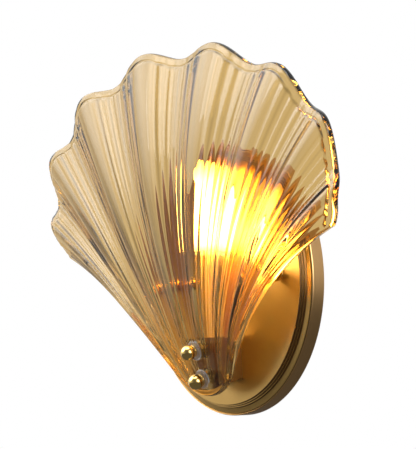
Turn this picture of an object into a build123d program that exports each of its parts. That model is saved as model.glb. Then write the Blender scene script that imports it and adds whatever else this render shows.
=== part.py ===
"""Shell wall sconce: a fluted scallop glass on a small bracket, on a round stepped wall canopy.

Frame: the wall is the plane y = 0 and the lamp stands out towards -Y; +Z is up and X runs
along the wall. The origin is the centre of the mounting plate's screw line. Millimetres.
"""
from build123d import *
from math import atan2, comb, cos, degrees, hypot, pi, radians, sin, tan
import os

os.makedirs("parts", exist_ok=True)

# ---------------------------------------------------------------- canopy (spun steel dish)
CANOPY_R = 70.6
CANOPY_SHEET = 1.0
FACE_DEPTH = 11.4          # flat face to wall
WALL_DEPTH = 7.4           # height of the side wall
RING_W = 3.4               # broad bright ring inside the rim bead
RING_SLOPE = 0.6
BEAD_W = 0.7               # thin bead outside the ring
GROOVE_DEPTH = 0.5
STEP_W = 0.75              # two small steps between the ring and the flat face
STEP_EASE = 0.3

# ---------------------------------------------------------------- scallop glass
RIB_PAIRS = 4              # big ribs on each side of the centre line
GLASS_T = 4.5              # measured straight out from the wall
FAN_HALF_W = 127.0         # the ellipse that the tips of the rim lie on
FAN_HALF_H = 72.0
FAN_CENTRE_Z = 51.4
FAN_SWEEP = 116.0          # degrees of the ellipse from the top to a lower corner
SCALLOP_DEPTH = 7.5        # how far the rim dips between two tips
UMBO_Z = -55.0             # the ribs and the dips point here
TOE_R = 26.0               # rounded lower end of the glass
TOE_Z = -60.0
TOE_SPREAD = 49.0          # degrees of the toe arc on each side
SIDE_BOW = 8.5             # how far the free side edges curve in
CREST_DEPTH = 41.2         # the glass stands out this far at its fullest height
CREST_Z = 40.0
LENGTH_R = 320.0           # bend of the glass along its centre line
CROSS_R_LOW = 525.0        # bend across it, near the toe
CROSS_R_TOP = 1250.0       # bend across it, at the top
TOP_Z = 120.0
RIB_HEIGHT = 4.6

# ---------------------------------------------------------------- shade fixing (ball nuts)
SHADE_FIX_Z = -43.6        # on the glass's outer face, midway between the two ball nuts
SHADE_FIX_PITCH = 15.7
SHADE_SCREW_D = 3.5
SHADE_HOLE_D = 5.0
SHADE_HEAD_D = 6.2
SHADE_HEAD_H = 1.5
PAD_D = 10.0
PAD_T = 1.0                # silicone pad between bracket and glass
CLEAR_WASHER_D = 9.6
CLEAR_WASHER_T = 1.2
BALL_D = 8.1
BALL_COLLAR_D = 6.4
BALL_COLLAR_H = 0.9
SEAT_CLEAR = 0.05
SEAT_EASE = 0.8            # flat seats in the glass are this much wider than the pads

# ---------------------------------------------------------------- bracket box
BRACKET_W = 24.0
BRACKET_SHEET = 1.2
BRACKET_TOP_Z = -29.5
BRACKET_BELOW = 12.5       # flange length below the middle of the two shade screws
BRACKET_BEND_R = 1.6
BRACKET_SCREW_X = 7.6
BRACKET_SCREW_Z = -37.2
BRACKET_SCREW_D = 3.0
BRACKET_HEAD_D = 5.6
BRACKET_HEAD_H = 2.0
BRACKET_NUT_AF = 5.5
BRACKET_NUT_H = 2.4
SCREW_HOLE_EASE = 0.4

# ---------------------------------------------------------------- lamp holder
HOLDER_Y = -20.4
CUP_D = 16.4
CUP_WALL = 0.8
CUP_TOP_Z = 13.2
INSULATOR_EASE = 0.25
INSULATOR_TOP_Z = -5.0
CONTACT_PITCH = 9.0
POCKET_DEEP = 13.0
POCKET_ACROSS = 4.2
POCKET_ALONG = 3.6
LEAD_CAVE_H = 8.5          # hollow under the insulator where the leads come together
LEAD_CAVE_W = 4.6
CONTACT_STRIP = 0.5
CONTACT_W = 2.6
CONTACT_H = 12.0
HOLDER_SCREW_X = 5.3
HOLDER_SCREW_D = 2.5
HOLDER_SCREW_LEN = 6.5
HOLDER_HEAD_D = 4.4
HOLDER_HEAD_H = 1.4
BUSH_D = 6.0
BUSH_BORE = 4.6
BUSH_FLANGE_D = 7.6
BUSH_FLANGE_T = 0.8

# ---------------------------------------------------------------- pin-base bulb
BULB_D = 15.0
BULB_WALL = 0.8
BULB_TOP_Z = 63.0
BULB_BASE_D = 13.4
BULB_COLLAR_H = 2.2
BULB_STOP_GAP = 0.3        # bulb collar over the cup's edge
PIN_D = 1.4
PIN_LEN = 11.0
CORE_W = 7.6
CORE_T = 2.0
CORE_TOP_GAP = 9.0
CHIP_ROWS = 9
CHIP_W = 1.6
CHIP_H = 2.6
CHIP_T = 0.5

# ---------------------------------------------------------------- wall side
PLATE_LEN = 116.0
PLATE_W = 44.0
PLATE_T = 1.5
PLATE_CORNER_R = 8.0
STUD_X = 48.5
STUD_D = 4.0
STUD_NUT_AF = 7.0
STUD_NUT_H = 3.0
CANOPY_HOLE_D = 4.6
WALL_SLOT_PITCH = 60.0
WALL_SLOT_D = 4.5
WALL_SLOT_LEN = 12.0
CABLE_HOLE_D = 16.0
EARTH_X = 22.0
EARTH_Z = -13.0
EARTH_SCREW_D = 3.5
EARTH_HEAD_D = 6.6
EARTH_HEAD_H = 2.2
EARTH_WASHER_D = 8.0
EARTH_WASHER_T = 0.8

# ---------------------------------------------------------------- terminal block
POLE_PITCH = 8.0
POLES = 3
BLOCK_H = 12.0             # along Z
BLOCK_DEEP = 7.6
BLOCK_Z = 15.2
BLOCK_NECK = 1.0           # waist between two poles
CLAMP_W = 3.8              # square clamp bars
CLAMP_BORE = 2.4
POLE_SCREW_D = 2.5
POLE_SCREW_GAP = 6.0
BLOCK_SCREW_D = 2.5
BLOCK_SCREW_HEAD_D = 3.6
BLOCK_SCREW_HEAD_H = 1.2

# ---------------------------------------------------------------- leads
LEAD_D = 1.5
LEAD_GAP = 2.1             # two leads side by side, centre to centre
LEAD_Z = -45.0             # height at which they pass into the canopy
LEAD_RISE_Y = -6.0         # depth at which they climb inside the canopy
GROMMET_BORE = 5.4
GROMMET_D = 8.0
GROMMET_FLANGE_D = 10.6
GROMMET_FLANGE_T = 0.8
LUG_T = 0.7
LUG_D = 6.4
LUG_BARREL_D = 2.6
LUG_BARREL_LEN = 4.0
BIG = 400.0


# ================================================================ small helpers
def rod_y(diameter, front, back, x=0.0, z=0.0):
    """A round bar along Y from y = front to y = back."""
    bar = Cylinder(diameter / 2, back - front, rotation=(90, 0, 0))
    return Pos(x, (front + back) / 2, z) * bar


def rod_z(diameter, low, high, x=0.0, y=0.0):
    """A round bar along Z from z = low to z = high."""
    return Pos(x, y, (low + high) / 2) * Cylinder(diameter / 2, high - low)


def hex_y(across_flats, front, back, x=0.0, z=0.0, bore=0.0):
    """A hexagon nut along Y, flats up and down."""
    outline = Plane.XZ * RegularPolygon(across_flats / 2, 6, major_radius=False, rotation=30)
    nut = Pos(x, back, z) * extrude(outline, back - front)
    return nut - rod_y(bore, front - 1, back + 1, x, z) if bore else nut


def along(start, axis, distance):
    """The point at a distance from start along a unit axis."""
    return tuple(s + a * distance for s, a in zip(start, axis))


def rod_along(diameter, start, axis, low, high):
    """A round bar along any unit axis, between two distances from start."""
    plane = Plane(origin=along(start, axis, low), z_dir=axis)
    return extrude(plane * Circle(diameter / 2), high - low)


def write(name, shape):
    """Write one node's STEP file."""
    export_step(shape, "parts/" + name + ".step")
    print(name, "volume", round(shape.volume, 1))


def group(*solids):
    """Separate solids that share one node."""
    return Compound(children=list(solids))


# ================================================================ scallop glass
def rib_wave(across):
    """1 on a rib's crest and 0 in a valley; across runs from -1 to 1 over the fan."""
    return (1 + cos(2 * pi * (RIB_PAIRS * abs(across) - 0.5))) / 2


def toe_point(across):
    """Where a fan line starts, on the rounded toe."""
    share = sin(1.2 * abs(across)) / sin(1.2)
    angle = radians(TOE_SPREAD) * (share if across > 0 else -share)
    return TOE_R * sin(angle), TOE_Z + TOE_R * (1 - cos(angle))


def rim_point(across):
    """Where a fan line ends, on the scalloped rim."""
    tau = radians(90 - FAN_SWEEP * abs(across))
    x, z = FAN_HALF_W * cos(tau), FAN_CENTRE_Z + FAN_HALF_H * sin(tau)
    outermost = abs(across) > 1 - 0.5 / RIB_PAIRS
    dip = 0 if outermost else SCALLOP_DEPTH * (1 - rib_wave(across))
    keep = 1 - dip / hypot(x, z - UMBO_Z)
    return (x if across > 0 else -x) * keep, UMBO_Z + (z - UMBO_Z) * keep


def glass_depth(x, z, along_rib, across):
    """How far the glass's outer face stands out from the wall."""
    cross_low, cross_top = 1 / CROSS_R_LOW, 1 / CROSS_R_TOP
    cross = cross_low + (cross_top - cross_low) * max(z, 0) / TOP_Z
    dome = CREST_DEPTH - (z - CREST_Z) ** 2 / (2 * LENGTH_R) - cross * x * x / 2
    return dome + RIB_HEIGHT * along_rib * rib_wave(across)


def glass_point(across, along_rib):
    """A point of the outer face; along_rib runs from 0 at the toe to 1 at the rim."""
    (x0, z0), (x1, z1) = toe_point(across), rim_point(across)
    run, rise = x1 - x0, z1 - z0
    length = hypot(run, rise)
    bow = SIDE_BOW * (1 - (1 - abs(across)) ** 2) * 4 * along_rib * (1 - along_rib) / length
    side = 1 if across > 0 else -1
    x = x0 + run * along_rib - rise * side * bow
    z = z0 + rise * along_rib + abs(run) * bow
    return x, -glass_depth(x, z, along_rib, across), z


def bezier_weights(degree):
    """Rows that turn evenly spaced points of a curve into its Bezier poles."""
    size = degree + 1
    rows = []
    for i in range(size):
        t = i / degree
        basis = [comb(degree, j) * t**j * (1 - t) ** (degree - j) for j in range(size)]
        rows.append(basis + [1.0 if k == i else 0.0 for k in range(size)])
    for i in range(size):
        best = max(range(i, size), key=lambda k: abs(rows[k][i]))
        rows[i], rows[best] = rows[best], rows[i]
        pivot = rows[i][i]
        rows[i] = [value / pivot for value in rows[i]]
        for k in range(size):
            if k != i:
                factor = rows[k][i]
                rows[k] = [a - factor * b for a, b in zip(rows[k], rows[i])]
    return [row[size:] for row in rows]


def patch(across_from, across_to, shift):
    """One smooth patch of the glass between two fan lines, moved by shift along Y."""
    weights = bezier_weights(PATCH_DEGREE)
    steps = range(PATCH_DEGREE + 1)
    rows = []
    for j in steps:
        line = []
        for i in steps:
            across = across_from + (across_to - across_from) * i / PATCH_DEGREE
            x, y, z = glass_point(across, j / PATCH_DEGREE)
            line.append((x, y + shift, z))
        rows.append(line)
    poles = []
    for wj in weights:
        row = []
        for wi in weights:
            mix = [(wj[j] * wi[i], rows[j][i]) for j in steps for i in steps]
            row.append(tuple(sum(w * p[axis] for w, p in mix) for axis in range(3)))
        poles.append(row)
    return Face.make_bezier_surface(poles)


PATCH_DEGREE = 4
PATCHES_PER_RIB = 2


def make_glass():
    """The fluted scallop: patches of the two faces, closed by walls along the whole edge."""
    count = 2 * RIB_PAIRS * PATCHES_PER_RIB
    edges = [2 * k / count - 1 for k in range(count + 1)]
    faces = []
    for left, right in zip(edges, edges[1:]):
        front = patch(left, right, 0.0)
        back = patch(left, right, GLASS_T)
        faces += [front, back]
        middle = (left + right) / 2
        ends = [glass_point(middle, 0.0), glass_point(middle, 1.0)]
        if left == edges[0]:
            ends.append(glass_point(left, 0.5))
        if right == edges[-1]:
            ends.append(glass_point(right, 0.5))
        for end in ends:
            border = min(front.edges(), key=lambda e: e.distance_to(Vertex(*end)))
            faces.append(Face.extrude(border, (0, GLASS_T, 0)))
    return Solid(Shell(faces))


# ================================================================ shade fixing frame
def fix_frame():
    """The glass's outer point between the ball nuts, its outward axis and its upward axis."""
    lean = atan2(CREST_Z - SHADE_FIX_Z, LENGTH_R)
    outward = (0.0, -cos(lean), -sin(lean))
    upward = (0.0, -sin(lean), cos(lean))
    origin = (0.0, -glass_depth(0.0, SHADE_FIX_Z, 0.0, 0.0), SHADE_FIX_Z)
    return origin, outward, upward


FIX, OUT, UP = fix_frame()
GLASS_ALONG = GLASS_T * -OUT[1]              # glass thickness along the screws
PAD_FROM = -GLASS_ALONG - SEAT_CLEAR - PAD_T  # distances along OUT, zero on the glass's face
FLANGE_FROM = PAD_FROM - BRACKET_SHEET
WASHER_FROM = SEAT_CLEAR
BALL_FROM = WASHER_FROM + CLEAR_WASHER_T
BALL_RADIUS = BALL_D / 2
BALL_SINK = BALL_RADIUS - (BALL_RADIUS**2 - (BALL_COLLAR_D / 2) ** 2) ** 0.5


def shade_spots():
    """The two screw places on the glass's outer face."""
    return [along(FIX, UP, SHADE_FIX_PITCH / 2), along(FIX, UP, -SHADE_FIX_PITCH / 2)]


def make_shade_glass():
    """The scallop with its two screw holes and flat seats under the washers."""
    glass = make_glass()
    for spot in shade_spots():
        glass = glass - rod_along(SHADE_HOLE_D, spot, OUT, -3 * GLASS_T, 3 * GLASS_T)
        glass = glass - rod_along(PAD_D + SEAT_EASE, spot, OUT, 0.0, 3 * GLASS_T)
        glass = glass - rod_along(PAD_D + SEAT_EASE, spot, OUT, -3 * GLASS_T, -GLASS_ALONG)
    return glass


def make_shade_screws():
    """Low-head screws from inside the bracket; the head seats on the flange."""
    screws = []
    for spot in shade_spots():
        head = rod_along(SHADE_HEAD_D, spot, OUT, FLANGE_FROM - SHADE_HEAD_H, FLANGE_FROM)
        tip = BALL_FROM + BALL_COLLAR_H + BALL_RADIUS
        screws.append(head + rod_along(SHADE_SCREW_D, spot, OUT, FLANGE_FROM, tip))
    return group(*screws)


def make_ball_nuts(spots, axis, seat, bore):
    """Round ball nuts with a short collar, blind-bored for the screw or stud."""
    nuts = []
    for spot in spots:
        centre = seat + BALL_COLLAR_H + BALL_RADIUS - BALL_SINK
        ball = Pos(*along(spot, axis, centre)) * Sphere(BALL_RADIUS)
        neck = rod_along(BALL_COLLAR_D, spot, axis, seat, centre)
        thread = rod_along(bore, spot, axis, seat - 1, seat + BALL_COLLAR_H + BALL_RADIUS)
        nuts.append(ball + neck - thread)
    return group(*nuts)


def make_rings(diameter, thickness, start):
    """Flat rings on the two shade screws."""
    rings = []
    for spot in shade_spots():
        ring = rod_along(diameter, spot, OUT, start, start + thickness)
        rings.append(ring - rod_along(SHADE_HOLE_D, spot, OUT, start - 1, start + thickness + 1))
    return group(*rings)


# ================================================================ canopy and wall side
def canopy_profile():
    """Half section (radius, distance from the wall) of the canopy's outer and inner faces."""
    ring_out = CANOPY_R - BEAD_W
    ring_in = ring_out - RING_W
    face_r = ring_in - 2 * STEP_W
    ring_top = WALL_DEPTH + RING_SLOPE
    rise = (FACE_DEPTH - ring_top) / 3
    outer = [(0, FACE_DEPTH), (face_r - STEP_EASE, FACE_DEPTH)]
    outer += [(face_r, FACE_DEPTH - STEP_EASE), (face_r, FACE_DEPTH - rise)]
    outer += [(face_r + STEP_W - STEP_EASE, FACE_DEPTH - rise)]
    outer += [(face_r + STEP_W, FACE_DEPTH - rise - STEP_EASE)]
    outer += [(face_r + STEP_W, ring_top + rise), (ring_in - STEP_EASE, ring_top + rise)]
    outer += [(ring_in, ring_top + rise - STEP_EASE), (ring_in, ring_top)]
    outer += [(ring_out - GROOVE_DEPTH, WALL_DEPTH), (ring_out, WALL_DEPTH - GROOVE_DEPTH)]
    outer += [(ring_out + BEAD_W / 2, WALL_DEPTH), (CANOPY_R, WALL_DEPTH - BEAD_W), (CANOPY_R, 0)]
    skin = CANOPY_SHEET
    inner = [(CANOPY_R - skin, 0), (CANOPY_R - skin, WALL_DEPTH - 2 * skin)]
    inner += [(ring_in - skin / 2, ring_top - 2 * skin), (face_r - skin, FACE_DEPTH - skin)]
    inner += [(0, FACE_DEPTH - skin)]
    return outer + inner


def make_canopy():
    """Spun dish with stepped edge; holes for studs, bracket screws and the leads."""
    section = Plane.XY * make_face(Polyline(*canopy_profile(), close=True))
    dish = revolve(section, Axis.Y)
    dish = Rot(180, 0, 0) * dish
    back = -FACE_DEPTH / 2
    for side in (-1, 1):
        dish -= rod_y(CANOPY_HOLE_D, -2 * FACE_DEPTH, back, side * STUD_X, 0)
        hole = BRACKET_SCREW_D + SCREW_HOLE_EASE
        dish -= rod_y(hole, -2 * FACE_DEPTH, back, side * BRACKET_SCREW_X, BRACKET_SCREW_Z)
    return dish - rod_y(GROMMET_D, -2 * FACE_DEPTH, back, 0, LEAD_Z)


def make_plate():
    """Mounting plate: wall slots, cable hole, tapped stud, earth and block holes."""
    outline = RectangleRounded(PLATE_LEN, PLATE_W, PLATE_CORNER_R)
    outline -= Circle(CABLE_HOLE_D / 2)
    for side in (-1, 1):
        outline -= Pos(side * WALL_SLOT_PITCH / 2, 0) * SlotOverall(WALL_SLOT_LEN, WALL_SLOT_D)
        outline -= Pos(side * STUD_X, 0) * Circle(STUD_D / 2)
    outline -= Pos(EARTH_X, EARTH_Z) * Circle(EARTH_SCREW_D / 2)
    for x in block_screw_x():
        outline -= Pos(x, BLOCK_Z) * Circle(BLOCK_SCREW_D / 2)
    return extrude(Plane.XZ * outline, PLATE_T)


def make_studs():
    """Threaded studs from the mounting plate to inside the ball nuts."""
    tip = -FACE_DEPTH - BALL_COLLAR_H - BALL_RADIUS
    return group(*[rod_y(STUD_D, tip, 0, side * STUD_X) for side in (-1, 1)])


def make_stud_nuts():
    """Lock nuts that hold the studs in the mounting plate."""
    front = -PLATE_T - STUD_NUT_H
    nuts = [hex_y(STUD_NUT_AF, front, -PLATE_T, side * STUD_X, 0, STUD_D) for side in (-1, 1)]
    return group(*nuts)


def make_earth_screw():
    """Earth screw of the mounting plate."""
    front = -PLATE_T - EARTH_WASHER_T - EARTH_HEAD_H
    head = rod_y(EARTH_HEAD_D, front, front + EARTH_HEAD_H, EARTH_X, EARTH_Z)
    slot = Pos(EARTH_X, front, EARTH_Z) * Box(EARTH_HEAD_D + 1, 1.6, 0.9)
    return head - slot + rod_y(EARTH_SCREW_D, front + EARTH_HEAD_H, 0, EARTH_X, EARTH_Z)


def make_earth_washer():
    """Washer under the earth screw's head."""
    front = -PLATE_T - EARTH_WASHER_T
    ring = rod_y(EARTH_WASHER_D, front, -PLATE_T, EARTH_X, EARTH_Z)
    return ring - rod_y(EARTH_SCREW_D, front - 1, 0, EARTH_X, EARTH_Z)


# ================================================================ bracket
def flange_y(z):
    """The bracket's front face at a height."""
    mid = along(FIX, OUT, PAD_FROM)
    return mid[1] - (z - mid[2]) * tan(atan2(-OUT[2], -OUT[1]))


def bracket_side(inset):
    """Side outline of the bracket box in (y, z), set in by the sheet on three sides."""
    mid = along(FIX, OUT, PAD_FROM - inset)
    low = along(mid, UP, -BRACKET_BELOW)
    top_z = BRACKET_TOP_Z - inset
    front_top = (mid[1] - (top_z - mid[2]) * tan(atan2(-OUT[2], -OUT[1])), top_z)
    back = -FACE_DEPTH - inset
    reach = (low[1] - back) / OUT[1]
    drop = BRACKET_BELOW if inset else 0.0
    tail = along(along(low, OUT, -reach), UP, -drop)
    low = along(low, UP, -drop)
    return [(back, top_z), front_top, (low[1], low[2]), (back, tail[2])]


def box_of(outline, width):
    """A prism across X from an outline in (y, z)."""
    return extrude(Plane.YZ * make_face(Polyline(*outline, close=True)), width / 2, both=True)


def make_bracket():
    """Folded box, open below: leaning front flange, cheeks, top shelf and back plate."""
    shell = box_of(bracket_side(0.0), BRACKET_W)
    bends = shell.faces().sort_by(Axis.Y)[0].edges().filter_by(Axis.X, reverse=True)
    shell = fillet(bends, BRACKET_BEND_R)
    shell -= box_of(bracket_side(BRACKET_SHEET), BRACKET_W - 2 * BRACKET_SHEET)
    for spot in shade_spots():
        hole = SHADE_SCREW_D + SCREW_HOLE_EASE
        shell -= rod_along(hole, spot, OUT, FLANGE_FROM - 2, PAD_FROM + 2)
    back = -FACE_DEPTH
    for side in (-1, 1):
        hole = BRACKET_SCREW_D + SCREW_HOLE_EASE
        shell -= rod_y(hole, back - 3, back + 1, side * BRACKET_SCREW_X, BRACKET_SCREW_Z)
        hole = HOLDER_SCREW_D + SCREW_HOLE_EASE
        low = BRACKET_TOP_Z - 3
        shell -= rod_z(hole, low, BRACKET_TOP_Z + 1, side * HOLDER_SCREW_X, HOLDER_Y)
    shell -= rod_z(BUSH_D, BRACKET_TOP_Z - 3, BRACKET_TOP_Z + 1, 0, HOLDER_Y)
    return shell - rod_y(GROMMET_D, back - 3, back + 1, 0, LEAD_Z)


def bracket_screw_seats():
    """X place and seat depth of each bracket screw; the earth lug lies under the right one."""
    inside = -FACE_DEPTH + CANOPY_SHEET
    return [(-BRACKET_SCREW_X, inside), (BRACKET_SCREW_X, inside + LUG_T)]


def make_bracket_screws():
    """Screws from inside the canopy into the bracket's back plate."""
    screws = []
    tip = -FACE_DEPTH - BRACKET_SHEET - BRACKET_NUT_H - 0.6
    for x, seat in bracket_screw_seats():
        head = rod_y(BRACKET_HEAD_D, seat, seat + BRACKET_HEAD_H, x, BRACKET_SCREW_Z)
        screws.append(head + rod_y(BRACKET_SCREW_D, tip, seat, x, BRACKET_SCREW_Z))
    return group(*screws)


def make_bracket_nuts():
    """Nuts of the bracket screws, inside the bracket box."""
    back = -FACE_DEPTH - BRACKET_SHEET
    front = back - BRACKET_NUT_H
    bore = BRACKET_SCREW_D
    places = [side * BRACKET_SCREW_X for side in (-1, 1)]
    nuts = [hex_y(BRACKET_NUT_AF, front, back, x, BRACKET_SCREW_Z, bore) for x in places]
    return group(*nuts)


# ================================================================ lamp holder
INSULATOR_D = CUP_D - 2 * CUP_WALL - 2 * INSULATOR_EASE
CUP_FLOOR_Z = BRACKET_TOP_Z + CUP_WALL
POCKET_FLOOR_Z = INSULATOR_TOP_Z - POCKET_DEEP


def contact_y():
    """The two contact places, one behind the other."""
    return [HOLDER_Y - CONTACT_PITCH / 2, HOLDER_Y + CONTACT_PITCH / 2]


def make_cup():
    """Holder cup standing on the bracket's top shelf."""
    cup = rod_z(CUP_D, BRACKET_TOP_Z, CUP_TOP_Z, 0, HOLDER_Y)
    cup -= rod_z(CUP_D - 2 * CUP_WALL, CUP_FLOOR_Z, CUP_TOP_Z + 1, 0, HOLDER_Y)
    cup -= rod_z(BUSH_D, BRACKET_TOP_Z - 1, CUP_FLOOR_Z + 1, 0, HOLDER_Y)
    for side in (-1, 1):
        hole = HOLDER_SCREW_D + SCREW_HOLE_EASE
        cup -= rod_z(hole, BRACKET_TOP_Z - 1, CUP_FLOOR_Z + 1, side * HOLDER_SCREW_X, HOLDER_Y)
    return cup


def make_insulator():
    """Ceramic socket body: two contact pockets above, a hollow for the leads below."""
    body = rod_z(INSULATOR_D, CUP_FLOOR_Z, INSULATOR_TOP_Z, 0, HOLDER_Y)
    cave_long = CONTACT_PITCH + LEAD_D + 1.2
    cave = Box(LEAD_CAVE_W, cave_long, 2 * LEAD_CAVE_H)
    body -= Pos(0, HOLDER_Y, CUP_FLOOR_Z) * cave
    body -= rod_z(BUSH_FLANGE_D + 0.4, CUP_FLOOR_Z - 1, CUP_FLOOR_Z + BUSH_FLANGE_T + 0.3, 0, HOLDER_Y)
    for y in contact_y():
        pocket = Box(POCKET_ALONG, POCKET_ACROSS, 2 * POCKET_DEEP)
        body -= Pos(0, y, INSULATOR_TOP_Z) * pocket
        body -= rod_z(LEAD_D + 0.4, CUP_FLOOR_Z, INSULATOR_TOP_Z, 0, y)
    for side in (-1, 1):
        x = side * HOLDER_SCREW_X
        top = BRACKET_TOP_Z - BRACKET_SHEET + HOLDER_SCREW_LEN
        body -= rod_z(HOLDER_SCREW_D, CUP_FLOOR_Z - 1, top, x, HOLDER_Y)
    return body


def make_contacts():
    """Two folded spring strips; the bulb's pin slides between the two legs."""
    gap = PIN_D + 0.2
    clips = []
    for y in contact_y():
        low = POCKET_FLOOR_Z
        block = Box(CONTACT_W, gap + 2 * CONTACT_STRIP, CONTACT_H)
        clip = Pos(0, y, low + CONTACT_H / 2) * block
        slot = Box(CONTACT_W + 1, gap, CONTACT_H)
        clips.append(clip - Pos(0, y, low + CONTACT_H / 2 + CONTACT_STRIP) * slot)
    return group(*clips)


def make_holder_screws():
    """Two short screws from below the shelf into the socket body."""
    seat = BRACKET_TOP_Z - BRACKET_SHEET
    screws = []
    for side in (-1, 1):
        x = side * HOLDER_SCREW_X
        head = rod_z(HOLDER_HEAD_D, seat - HOLDER_HEAD_H, seat, x, HOLDER_Y)
        screws.append(head + rod_z(HOLDER_SCREW_D, seat, seat + HOLDER_SCREW_LEN - 0.3, x, HOLDER_Y))
    return group(*screws)


def make_bush():
    """Flanged bush that guards the leads where they leave the cup."""
    low = BRACKET_TOP_Z - BRACKET_SHEET - 0.4
    bush = rod_z(BUSH_D, low, CUP_FLOOR_Z, 0, HOLDER_Y)
    bush += rod_z(BUSH_FLANGE_D, CUP_FLOOR_Z, CUP_FLOOR_Z + BUSH_FLANGE_T, 0, HOLDER_Y)
    return bush - rod_z(BUSH_BORE, low - 1, CUP_FLOOR_Z + 2, 0, HOLDER_Y)


# ================================================================ bulb
COLLAR_Z = CUP_TOP_Z + BULB_STOP_GAP
BULB_BASE_LOW = INSULATOR_TOP_Z + BULB_STOP_GAP


def make_bulb_base():
    """Moulded base: a plug that enters the cup and a collar that carries the envelope."""
    plug = rod_z(BULB_BASE_D, BULB_BASE_LOW, COLLAR_Z, 0, HOLDER_Y)
    plug += rod_z(BULB_D, COLLAR_Z, COLLAR_Z + BULB_COLLAR_H, 0, HOLDER_Y)
    for y in contact_y():
        plug -= rod_z(PIN_D, BULB_BASE_LOW - 1, BULB_BASE_LOW + 4, 0, y)
    return plug


def make_pins():
    """The bulb's two contact pins."""
    low = BULB_BASE_LOW - PIN_LEN
    return group(*[rod_z(PIN_D, low, BULB_BASE_LOW + 4, 0, y) for y in contact_y()])


def make_envelope():
    """Clear round-topped tube over the light column."""
    low = COLLAR_Z + BULB_COLLAR_H
    radius = BULB_D / 2
    top = BULB_TOP_Z - radius
    outer = rod_z(BULB_D, low, top, 0, HOLDER_Y) + Pos(0, HOLDER_Y, top) * Sphere(radius)
    inner = rod_z(BULB_D - 2 * BULB_WALL, low - 1, top, 0, HOLDER_Y)
    inner += Pos(0, HOLDER_Y, top) * Sphere(radius - BULB_WALL)
    return outer - inner


def make_core():
    """Flat board that carries the light chips."""
    low = COLLAR_Z + BULB_COLLAR_H
    high = BULB_TOP_Z - CORE_TOP_GAP
    return Pos(0, HOLDER_Y, (low + high) / 2) * Box(CORE_W, CORE_T, high - low)


def make_chips():
    """Light chips in two columns on both faces of the board."""
    low = COLLAR_Z + BULB_COLLAR_H + 4
    high = BULB_TOP_Z - CORE_TOP_GAP - 3
    step = (high - low) / (CHIP_ROWS - 1)
    chips = []
    for row in range(CHIP_ROWS):
        for x in (-CORE_W / 4, CORE_W / 4):
            for side in (-1, 1):
                y = HOLDER_Y + side * (CORE_T + CHIP_T) / 2
                chips.append(Pos(x, y, low + row * step) * Box(CHIP_W, CHIP_T, CHIP_H))
    return group(*chips)


# ================================================================ terminal block
def pole_x():
    """The poles' places along X."""
    return [(k - (POLES - 1) / 2) * POLE_PITCH for k in range(POLES)]


def block_screw_x():
    """The block's own screws sit between the poles."""
    return [(k - (POLES - 2) / 2) * POLE_PITCH for k in range(POLES - 1)]


BLOCK_BACK = -PLATE_T
BLOCK_FRONT = BLOCK_BACK - BLOCK_DEEP
CLAMP_Y = BLOCK_BACK - BLOCK_DEEP * 0.42
WAIST_FRONT = BLOCK_BACK - BLOCK_DEEP * 0.5


def make_block():
    """Moulded body: a block per pole, a low waist between them, wire and screw holes."""
    length = POLES * POLE_PITCH - BLOCK_NECK
    body = Pos(0, (BLOCK_BACK + WAIST_FRONT) / 2, BLOCK_Z)
    body = body * Box(length, BLOCK_BACK - WAIST_FRONT, BLOCK_H * 0.7)
    for x in pole_x():
        pole = Box(POLE_PITCH - BLOCK_NECK - 1, BLOCK_DEEP, BLOCK_H)
        body += Pos(x, (BLOCK_BACK + BLOCK_FRONT) / 2, BLOCK_Z) * pole
    for x in pole_x():
        body -= Pos(x, CLAMP_Y, BLOCK_Z) * Box(CLAMP_W, CLAMP_W, 2 * BLOCK_H)
        for z in pole_screw_z():
            body -= rod_y(POLE_SCREW_D + 0.3, BLOCK_FRONT - 1, CLAMP_Y, x, z)
    for x in block_screw_x():
        body -= rod_y(BLOCK_SCREW_D, BLOCK_FRONT, BLOCK_BACK + 1, x, BLOCK_Z)
        recess = BLOCK_SCREW_HEAD_D + SCREW_HOLE_EASE
        body -= rod_y(recess, BLOCK_FRONT - 1, WAIST_FRONT, x, BLOCK_Z)
    return body


def pole_screw_z():
    """Heights of a pole's two clamp screws."""
    return [BLOCK_Z - POLE_SCREW_GAP / 2, BLOCK_Z + POLE_SCREW_GAP / 2]


def make_clamps():
    """Square brass clamp bars, bored for the leads and tapped for the clamp screws."""
    bars = []
    for x in pole_x():
        bar = Pos(x, CLAMP_Y, BLOCK_Z) * Box(CLAMP_W, CLAMP_W, BLOCK_H - 2)
        bar -= rod_z(CLAMP_BORE, BLOCK_Z - BLOCK_H, BLOCK_Z + BLOCK_H, x, CLAMP_Y)
        for z in pole_screw_z():
            bar -= rod_y(POLE_SCREW_D, CLAMP_Y - CLAMP_W, CLAMP_Y, x, z)
        bars.append(bar)
    return group(*bars)


def make_pole_screws():
    """Clamp screws of the terminal block."""
    front = BLOCK_FRONT + 0.8
    tip = CLAMP_Y - CLAMP_BORE / 2 + 0.1
    places = [(x, z) for x in pole_x() for z in pole_screw_z()]
    return group(*[rod_y(POLE_SCREW_D, front, tip, x, z) for x, z in places])


def make_block_screws():
    """Screws that hold the terminal block on the mounting plate."""
    screws = []
    for x in block_screw_x():
        head = rod_y(BLOCK_SCREW_HEAD_D, WAIST_FRONT - BLOCK_SCREW_HEAD_H, WAIST_FRONT, x, BLOCK_Z)
        screws.append(head + rod_y(BLOCK_SCREW_D, WAIST_FRONT, 0, x, BLOCK_Z))
    return group(*screws)


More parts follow.
